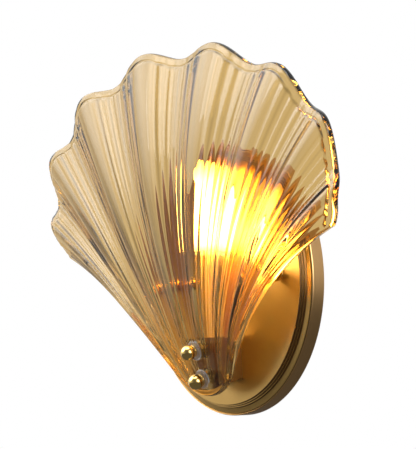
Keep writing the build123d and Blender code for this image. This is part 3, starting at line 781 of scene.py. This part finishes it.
    def fixing(self) -> tuple[Vector, Vector, Vector]:
        """The outer point midway between the screws, the outward axis and the upward axis."""
        lean = atan2(self.crest_z - self.fix_z, self.length_radius)
        depth = self.crest_depth - (self.fix_z - self.crest_z) ** 2 / (2 * self.length_radius)
        outward = Vector((0, -cos(lean), -sin(lean)))
        upward = Vector((0, -sin(lean), cos(lean)))
        return Vector((0, -depth, self.fix_z)), outward, upward

    def spots(self) -> list[Vector]:
        """The two screw places on the outer face, upper first."""
        middle, _, upward = self.fixing()
        return [middle + upward * self.fix_pitch / 2, middle - upward * self.fix_pitch / 2]

    def build(self, finish: bpy.types.Material) -> bpy.types.Object:
        """Make the glass with its holes and seats.

        Args:
            finish: the glass material.

        Returns:
            The finished piece.
        """
        recipe = Recipe("scallop_glass")
        named = {"Half Width": self.half_width, "Half Height": self.half_height,
                 "Toe Radius": self.toe_radius, "Scallop Depth": self.scallop,
                 "Rib Height": self.rib_height, "Reed Height": self.reed_height,
                 "Thickness": self.thickness}
        sizes = {name: recipe.ask(name, value) for name, value in named.items()}
        join = recipe.node("GeometryNodeJoinGeometry")
        recipe.link(self.sheet(recipe, sizes, 1), join.inputs[0])
        recipe.link(self.sheet(recipe, sizes, -1), join.inputs[0])
        merge = recipe.node("GeometryNodeMergeByDistance")
        merge.inputs["Distance"].default_value = self.weld * MM
        recipe.link(join.outputs[0], merge.inputs["Geometry"])
        smooth = recipe.node("GeometryNodeSetShadeSmooth")
        recipe.link(merge.outputs[0], smooth.inputs[0])
        glass = recipe.run(smooth.outputs[0], finish)
        _, outward, _ = self.fixing()
        inner = -self.thickness * -outward.y
        tools = []
        for spot in self.spots():
            r, w, far = self.hole / 2, self.seat / 2, self.tool_reach
            tool = lathe("seat_tool", [(0, -far), (w, -far), (w, inner), (r, inner), (r, 0),
                                       (w, 0), (w, far), (0, far)], SMALL_STEPS)
            place(tool, facing(outward), spot * MM)
            tools.append(tool)
        cut(glass, tools)
        mark_sharp(glass, self.seat_turn, [spot * MM for spot in self.spots()],
                   self.seat * self.seat_reach * MM)
        settle(glass, LAMP, "shade_glass")
        return glass


# ---------------------------------------------------------------- repeated hardware
def repeat(name: str, template: bpy.types.Object, first: Vector, step: Vector, count: int,
           finish: bpy.types.Material) -> bpy.types.Object:
    """Copies of a template in a row, made with Geometry Nodes.

    Args:
        name: the new piece's name.
        template: the object to copy; it is deleted afterwards.
        first: the first copy's place, in metres.
        step: from one copy to the next, in metres.
        count: how many copies.
        finish: the material.

    Returns:
        One plain mesh with all copies.
    """
    recipe = Recipe(name)
    line = recipe.node("GeometryNodeMeshLine")
    recipe.link(recipe.ask("Count", count, "Int"), line.inputs["Count"])
    recipe.link(recipe.ask("First", first[:], "Vector"), line.inputs["Start Location"])
    recipe.link(recipe.ask("Step", step[:], "Vector"), line.inputs["Offset"])
    shape = recipe.node("GeometryNodeObjectInfo")
    recipe.link(recipe.ask("Template", template, "Object"), shape.inputs["Object"])
    copies = recipe.node("GeometryNodeInstanceOnPoints")
    recipe.link(line.outputs[0], copies.inputs["Points"])
    recipe.link(shape.outputs["Geometry"], copies.inputs["Instance"])
    made = recipe.run(copies.outputs[0], finish)
    bpy.data.objects.remove(template)
    return made


@dataclass
class BallHardware:
    """Ball nuts and clear washers, at the shade and at the canopy."""

    glass: ScallopGlass
    ball: float = 8.1
    collar: float = 6.4
    collar_height: float = 0.9
    bore: float = 3.5
    washer: float = 9.6
    washer_thick: float = 1.2
    seat_clear: float = 0.05
    stud_x: float = 48.5
    stud_bore: float = 4.0
    face_depth: float = 11.4
    neck: float = 0.25
    bevel: tuple[float, float] = (0.3, 0.15)
    well: float = 0.5
    ball_steps: int = 30

    def nut(self, bore: float) -> bpy.types.Object:
        """A ball nut along +Z with its seat at height 0."""
        r, c, h, b = self.ball / 2, self.collar / 2, self.collar_height, bore / 2
        sink = r - sqrt(r * r - c * c)
        centre = h + r - sink
        start = asin((c - self.neck) / r)
        turns = [start + (pi - start) * k / self.ball_steps for k in range(self.ball_steps + 1)]
        arc = [(r * sin(t), centre - r * cos(t)) for t in turns]
        arc[-1] = (0.0, centre + r)
        wide, high = self.bevel
        foot = rounded([(b, 0.0), (c, 0.0), (c, h - high), (c - wide, h)], 0.25, 3)
        blind = h + r - self.well
        return lathe("nut", [(0.0, blind), (b, blind)] + foot + arc, SMALL_STEPS)

    def build(self, gold: bpy.types.Material, clear: bpy.types.Material) -> None:
        """Make all four nuts and the two washers.

        Args:
            gold: the nuts' finish.
            clear: the washers' finish.
        """
        _, outward, _ = self.glass.fixing()
        upper, lower = self.glass.spots()
        step = (lower - upper) * MM
        start = self.seat_clear + self.washer_thick
        nut = self.nut(self.bore)
        place(nut, facing(outward), Vector())
        nuts = repeat("shade_balls", nut, (upper + outward * start) * MM, step, 2, gold)
        settle(nuts, LAMP, "shade_ball_nuts")
        nut = self.nut(self.stud_bore)
        place(nut, facing(Vector((0, -1, 0))), Vector())
        nuts = repeat("canopy_balls", nut, Vector((-self.stud_x, -self.face_depth, 0)) * MM,
                      Vector((2 * self.stud_x * MM, 0, 0)), 2, gold)
        settle(nuts, LAMP, "canopy_ball_nuts")
        w, h, t = self.washer / 2, self.glass.hole / 2, self.washer_thick
        ring = rounded([(h, t / 2), (h, 0), (w, 0), (w, t), (h, t), (h, t / 2)], 0.3, 3)
        washer = lathe("washer", ring[:-1], SMALL_STEPS)
        place(washer, facing(outward), Vector())
        first = (upper + outward * self.seat_clear) * MM
        washers = repeat("clear_rings", washer, first, step, 2, clear)
        settle(washers, LAMP, "clear_washers")


# ---------------------------------------------------------------- canopy
@dataclass
class Canopy:
    """The spun dish: flat face, two small steps, a bright ring, a groove and a side wall."""

    radius: float = 70.6
    sheet: float = 1.0
    face_depth: float = 11.4
    wall_depth: float = 7.4
    ring_width: float = 3.4
    ring_slope: float = 0.6
    bead: float = 0.7
    groove: float = 0.5
    step: float = 0.75
    ease: float = 0.22
    inner_ease: float = 0.6
    edge_turn: float = 38.0
    tool_reach: float = 3.0
    holes: list[tuple[float, float, float]] = field(default_factory=lambda: [
        (-48.5, 0.0, 4.6), (48.5, 0.0, 4.6), (-7.6, -37.2, 3.4), (7.6, -37.2, 3.4),
        (0.0, -45.0, 8.0)])

    def profile(self) -> Profile:
        """The closed section, as (radius, distance from the wall)."""
        out = self.radius - self.bead
        ring = out - self.ring_width
        face = ring - 2 * self.step
        top = self.wall_depth + self.ring_slope
        third = (self.face_depth - top) / 3
        outer = [(0.0, self.face_depth), (face, self.face_depth), (face, self.face_depth - third),
                 (face + self.step, self.face_depth - third), (face + self.step, top + third),
                 (ring, top + third), (ring, top), (out - self.groove, self.wall_depth),
                 (out, self.wall_depth - self.groove), (out + self.bead / 2, self.wall_depth),
                 (self.radius, self.wall_depth - self.bead), (self.radius, 0.0)]
        s = self.sheet
        inner = [(self.radius - s, 0.0), (self.radius - s, self.wall_depth - 2 * s),
                 (ring - s / 2, top - 2 * s), (face - s, self.face_depth - s),
                 (0.0, self.face_depth - s)]
        return rounded(outer, self.ease, 4) + rounded(inner, self.inner_ease, 3)

    def build(self, finish: bpy.types.Material) -> bpy.types.Object:
        """Make the canopy.

        Args:
            finish: its finish.

        Returns:
            The finished piece.
        """
        dish = lathe("canopy_dish", self.profile(), CANOPY_STEPS)
        place(dish, facing(Vector((0, -1, 0))), Vector())
        tools = []
        for x, z, size in self.holes:
            r, far = size / 2, self.tool_reach
            tool = lathe("hole_tool", [(0, -far), (r, -far), (r, far), (0, far)], HOLE_STEPS)
            place(tool, facing(Vector((0, -1, 0))), Vector((x, -self.face_depth, z)) * MM)
            tools.append(tool)
        cut(dish, tools)
        dish.data.materials.clear()
        dish.data.materials.append(finish)
        mark_sharp(dish, self.edge_turn)
        settle(dish, LAMP, "canopy")
        return dish


def mark_sharp(piece: bpy.types.Object, angle: float, spots: list[Vector] | None = None,
               reach: float = 0.0) -> None:
    """Smooth a piece but keep its sharp edges.

    Args:
        piece: the piece.
        angle: edges that turn by more than this many degrees stay sharp.
        spots: where given, only edges near these points stay sharp.
        reach: how near, in metres.
    """
    piece.data.shade_smooth()
    form = bmesh.new()
    form.from_mesh(piece.data)
    for edge in form.edges:
        if spots and min((edge.verts[0].co - spot).length for spot in spots) > reach:
            continue
        edge.smooth = len(edge.link_faces) == 2 and edge.calc_face_angle() < radians(angle)
    form.to_mesh(piece.data)
    form.free()


# ---------------------------------------------------------------- carried-over nodes
@dataclass
class Inside:
    """Bracket, holder, bulb and wall-side parts that keep their CAD meshes."""

    nodes: dict[str, bpy.types.Object]

    def dress(self, finish: object, *names: str) -> None:
        """Give CAD nodes a finish.

        Args:
            finish: a finish with a build method.
            names: the nodes.
        """
        material = finish.build()
        for name in names:
            slots = self.nodes[name].data.materials
            slots.clear()
            slots.append(material)
            log.info("%s: dressed as %s", name, material.name)

    def build(self) -> None:
        """Dress every carried-over node."""
        zinc = Metal("zinc_steel_worked", (0.72, 0.72, 0.71), (0.60, 0.61, 0.62), 0.34, Grain.ROLLED)
        self.dress(zinc, "mounting_plate", "canopy_studs", "stud_lock_nuts", "bracket_screws",
                   "bracket_nuts", "shade_screws", "holder_screws", "terminal_screws",
                   "block_screws")
        brass = Metal("brass_turned", (0.80, 0.62, 0.30), (0.66, 0.49, 0.22), 0.28, Grain.TURNED)
        self.dress(brass, "plate_earth_screw", "earth_washer", "terminal_clamps")
        self.dress(Metal("tinned_pins", (0.80, 0.79, 0.76), (0.70, 0.69, 0.66), 0.22),
                   "bulb_pins", "earth_lug")
        self.dress(Metal("spring_strip", (0.74, 0.50, 0.27), (0.60, 0.39, 0.20), 0.30, Grain.ROLLED),
                   "holder_contacts")
        # The bracket's dark brown colour is partly its own bronze-gold finish and partly painted
        # shade, for the shade it sits in behind the glass.
        self.dress(Metal("bronze_gold_lacquer", (0.30, 0.17, 0.06), (0.23, 0.12, 0.04), 0.36,
                         Grain.BRUSHED, 5e-6), "shade_bracket")
        self.dress(Metal("cup_satin_gold", (0.96, 0.76, 0.40), (0.88, 0.68, 0.34), 0.42,
                         Grain.BRUSHED), "holder_cup")
        self.dress(Moulded("steatite", (0.86, 0.83, 0.76), (0.78, 0.75, 0.68), 0.55),
                   "holder_insulator")
        self.dress(Moulded("clear_silicone", (0.92, 0.91, 0.88), (0.86, 0.85, 0.82), 0.30, 0.6),
                   "shade_pads", "lead_bush")
        self.dress(Moulded("black_grommet", (0.03, 0.03, 0.03), (0.02, 0.02, 0.02), 0.5),
                   "lead_grommet")
        self.dress(Moulded("block_body", (0.86, 0.86, 0.83), (0.80, 0.80, 0.77), 0.42),
                   "terminal_block")
        self.dress(Moulded("bulb_base_body", (0.84, 0.82, 0.78), (0.76, 0.74, 0.70), 0.4),
                   "bulb_base")
        self.dress(Moulded("white_board", (0.88, 0.87, 0.82), (0.80, 0.79, 0.74), 0.5), "bulb_core")
        self.dress(Striped("lead_brown", (0.22, 0.11, 0.06), (0.25, 0.13, 0.07)), "live_lead")
        self.dress(Striped("lead_blue", (0.06, 0.16, 0.42), (0.07, 0.18, 0.46)), "neutral_lead")
        self.dress(Striped("lead_green_yellow", (0.10, 0.36, 0.08), (0.80, 0.68, 0.06)),
                   "earth_lead")
        self.dress(Glow("lit_chips", (1.0, 0.80, 0.40), (1.0, 0.66, 0.26), 30.0, 14.0, 20.0, 44.0,
                        62.0), "bulb_chips")
        self.dress(Glow("lit_envelope", (1.0, 0.82, 0.42), (1.0, 0.56, 0.14), 60.0, 14.0, 25.0,
                        36.0, 64.0), "bulb_envelope")


# ---------------------------------------------------------------- studio
@dataclass(frozen=True)
class Lamp:
    """A soft rectangular lamp that faces the shade, in metres and watts."""

    name: str
    at: Vector
    size: tuple[float, float]
    power: float

    def build(self) -> None:
        """Hang the lamp."""
        light = bpy.data.lights.new(self.name, "AREA")
        light.shape = "RECTANGLE"
        light.size, light.size_y = self.size
        light.energy = self.power
        holder = bpy.data.objects.new(self.name, light)
        aim = (Vector((0, -0.03, 0.03)) - self.at).to_track_quat("-Z", "Y")
        holder.matrix_world = Matrix.Translation(self.at) @ aim.to_matrix().to_4x4()
        bpy.context.scene.collection.objects.link(holder)


@dataclass(frozen=True)
class SoftBox:
    """A bright patch of the world, for mirrored and refracted rays only."""

    toward: Triple
    start: float
    full: float
    level: float

    def light(self, x: Term, y: Term, z: Term) -> Term:
        """The patch's light in a direction."""
        a, b, c = self.toward
        return (x * a + y * b + z * c).ramp(self.start, self.full) * self.level


@dataclass
class Studio:
    """Camera, lamps, world and floor.

    Distance, floor and the bounce lamp's radius are in metres; its place and ring_y are in
    millimetres, and scale is in pixels per millimetre.
    """

    azimuth: float = 53.466
    elevation: float = -3.208
    roll: float = 3.0
    distance: float = 2.5
    scale: float = 1.91748
    centre_px: tuple[float, float] = (229.31, 280.22)
    image: tuple[int, int] = (416, 449)
    ring_y: float = -7.8
    sensor: float = 36.0
    bounce_at: Triple = (16.0, -26.0, 21.0)
    bounce_power: float = 0.7
    bounce_colour: Colour = (1.0, 0.74, 0.34)
    bounce_radius: float = 0.009
    floor_half: float = 3.0
    floor_at: Triple = (0.0, -1.0, -0.7)
    floor_mix: float = 0.85
    side_box: SoftBox = SoftBox((-0.62, -0.50, 0.60), 0.82, 0.93, 3.2)
    top_box: SoftBox = SoftBox((0.15, -0.35, 0.92), 0.86, 0.96, 1.8)
    right_box: SoftBox = SoftBox((0.97, 0.0, 0.24), 0.93, 0.975, 5.0)

    def axes(self) -> tuple[Vector, Vector, Vector]:
        """The camera's right, up and back axes."""
        a, e, r = radians(self.azimuth), radians(self.elevation), radians(self.roll)
        back = Vector((sin(a) * cos(e), -cos(a) * cos(e), sin(e)))
        right = Vector((cos(a), sin(a), 0))
        up = back.cross(right)
        return right * cos(r) - up * sin(r), right * sin(r) + up * cos(r), back

    def camera(self) -> None:
        """Place the camera of the photograph."""
        right, up, back = self.axes()
        lens = bpy.data.cameras.new("camera")
        lens.sensor_fit = "HORIZONTAL"
        lens.sensor_width = self.sensor
        lens.lens = self.scale * self.distance * 1000 * self.sensor / self.image[0]
        lens.clip_end = 20.0
        left = (self.centre_px[0] - self.image[0] / 2) / self.scale
        down = (self.centre_px[1] - self.image[1] / 2) / self.scale
        at = Vector((0, self.ring_y, 0)) * MM + back * self.distance
        at += (-right * left + up * down) * MM
        turn = Matrix((right, up, back)).transposed().to_4x4()
        holder = bpy.data.objects.new("camera", lens)
        holder.matrix_world = Matrix.Translation(at) @ turn
        bpy.context.scene.collection.objects.link(holder)
        bpy.context.scene.camera = holder

    def bounce(self) -> None:
        """Warm light that the bulb and shade throw on the holder and the canopy."""
        light = bpy.data.lights.new("bounce", "POINT")
        light.energy = self.bounce_power
        light.color = self.bounce_colour
        light.shadow_soft_size = self.bounce_radius
        holder = bpy.data.objects.new("bounce", light)
        holder.location = Vector(self.bounce_at) * MM
        holder.visible_camera = holder.visible_transmission = False
        bpy.context.scene.collection.objects.link(holder)

    def world(self) -> None:
        """White to the camera, grey as light, with soft boxes and flags in gloss and glass."""
        world = bpy.data.worlds.new("studio")
        bpy.context.scene.world = world
        world.use_nodes = True
        graph = Graph(world.node_tree)
        path = graph.node("ShaderNodeLightPath")
        camera = Term(graph, path.outputs["Is Camera Ray"])
        through = Term(graph, path.outputs["Is Transmission Ray"])
        gloss = Term(graph, path.outputs["Is Glossy Ray"])
        place_at = graph.node("ShaderNodeTexCoord")
        x, y, z = graph.split(place_at.outputs["Generated"])
        side, top, far = (box.light(x, y, z)
                          for box in (self.side_box, self.top_box, self.right_box))
        boxes = side + top + far
        front = 1 - y.ramp(-0.55, -0.10)
        right = x.ramp(0.1, 0.8)
        left = 1 - x.ramp(-0.5, 0.3)
        below = 1 - z.ramp(-0.45, -0.05)
        ahead = front * (left * 0.5 + 0.15)
        mirrored = ((0.85 - right * 0.42) * (1 - front) + ahead) * (1 - below * 0.7) + boxes
        flag = (1 - (y + x * 0.27).ramp(-0.05, 0.32)) * (1 - x.ramp(-0.3, 0.0))
        passed = (1 - front * 0.58) * (1 - flag * 0.5) + boxes * 0.2
        back = gloss * mirrored + (1 - gloss) * 0.45
        level = camera + (1 - camera) * (through * passed + (1 - through) * back)
        background = world.node_tree.nodes["Background"]
        background.inputs["Color"].default_value = (1, 1, 1, 1)
        graph.link(level, background.inputs["Strength"])

    def floor(self) -> None:
        """A plain pale floor below the lamp, white where it is seen and dimmed in gloss."""
        form = bmesh.new()
        bmesh.ops.create_grid(form, x_segments=1, y_segments=1, size=self.floor_half)
        mesh = bpy.data.meshes.new("floor")
        form.to_mesh(mesh)
        form.free()
        mesh.transform(Matrix.Translation(self.floor_at))
        plane = add_object("floor", mesh)
        graph, shader, output = start_material("pale_floor")
        shader.inputs["Base Color"].default_value = (0.82, 0.82, 0.81, 1)
        shader.inputs["Roughness"].default_value = 0.8
        path = graph.node("ShaderNodeLightPath")
        camera = Term(graph, path.outputs["Is Camera Ray"])
        through = Term(graph, path.outputs["Is Transmission Ray"])
        white = graph.node("ShaderNodeEmission")
        mix = graph.node("ShaderNodeMixShader")
        graph.link((camera + through).to("MINIMUM", 1.0) * self.floor_mix, mix.inputs[0])
        graph.link(shader.outputs[0], mix.inputs[1])
        graph.link(white.outputs[0], mix.inputs[2])
        dim = graph.node("ShaderNodeMixShader")
        gloss = Term(graph, path.outputs["Is Glossy Ray"]) - through
        graph.link(gloss.to("MAXIMUM", 0.0) * self.floor_mix, dim.inputs[0])
        dark = graph.node("ShaderNodeEmission")
        dark.inputs["Strength"].default_value = 0.03
        graph.link(mix.outputs[0], dim.inputs[1])
        graph.link(dark.outputs[0], dim.inputs[2])
        graph.link(dim.outputs[0], output.inputs["Surface"])
        plane.data.materials.append(bpy.data.materials["pale_floor"])
        plane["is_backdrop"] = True

    def build(self) -> None:
        """Set up the whole studio."""
        self.camera()
        for lamp in (Lamp("key", Vector((-0.9, -1.6, 1.1)), (0.9, 1.4), 10.0),
                     Lamp("fill", Vector((1.9, -0.9, 0.5)), (0.7, 1.5), 2.0),
                     Lamp("top", Vector((0.3, -0.5, 1.8)), (1.4, 0.8), 8.0)):
            lamp.build()
        self.bounce()
        self.world()
        self.floor()
        bpy.context.scene.view_settings.view_transform = "Standard"


def corners() -> list[list[float]]:
    """The shown object's lowest and highest corner, as plain lists."""
    return [list(corner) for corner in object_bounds()]


def main() -> None:
    """Build the sconce piece by piece over the frame."""
    logging.basicConfig(level=logging.INFO, format="%(name)s: %(message)s")
    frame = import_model()
    Studio().build()
    glass = ScallopGlass()
    glass.build(PressedGlass("champagne_glass", (0.63, 0.435, 0.16), (0.665, 0.47, 0.188),
                             (0.85, 0.60, 0.20), 40.0).build())
    gold = Metal("polished_gold_plate", (0.90, 0.63, 0.22), (0.84, 0.57, 0.18), 0.08)
    clear = Moulded("clear_washer", (0.80, 0.69, 0.60), (0.74, 0.63, 0.54), 0.28, 0.9)
    BallHardware(glass).build(gold.build(), clear.build())
    # The canopy's finish carries painted shade in its turned grooves and on its side wall.
    satin = Metal("satin_gold_turned", (0.74, 0.47, 0.15), (0.66, 0.40, 0.12), 0.32, Grain.TURNED,
                  shaded_grooves=(65.05, 65.8, 66.55, 69.75), wall_shade_from=70.0,
                  wall_shade_colour=(0.72, 0.43, 0.18))
    Canopy().build(satin.build())
    Inside(frame["nodes"]).build()


if __name__ == "__main__":
    main()
